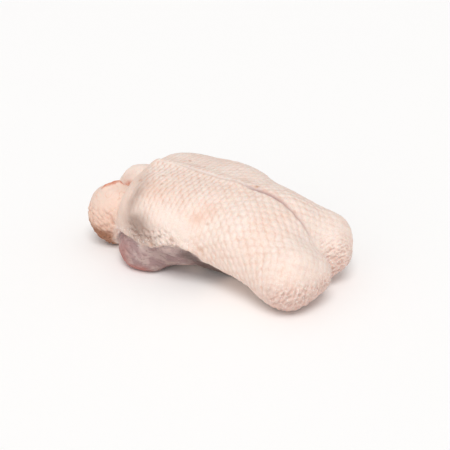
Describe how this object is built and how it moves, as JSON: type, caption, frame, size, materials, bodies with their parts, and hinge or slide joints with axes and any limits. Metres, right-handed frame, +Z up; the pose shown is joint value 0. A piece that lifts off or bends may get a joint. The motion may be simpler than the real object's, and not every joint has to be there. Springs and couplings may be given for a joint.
{
  "type": "raw duck crown",
  "caption": "Raw duck crown lying breast up: both skin-covered breasts on the bone, with thigh stumps and rump lumps.",
  "frame": {"origin": "middle of the footprint on the surface that the crown rests on", "axes": "+X towards the neck end with its two lobes, -Y the near side of the picture, +Z up through the breastbone"},
  "size_m": [0.2446, 0.1288, 0.085],
  "materials": {
    "skin": "moist raw skin"
  },
  "bodies": {
    "root": {"duck_crown": "skin"}
  },
  "joints": []
}
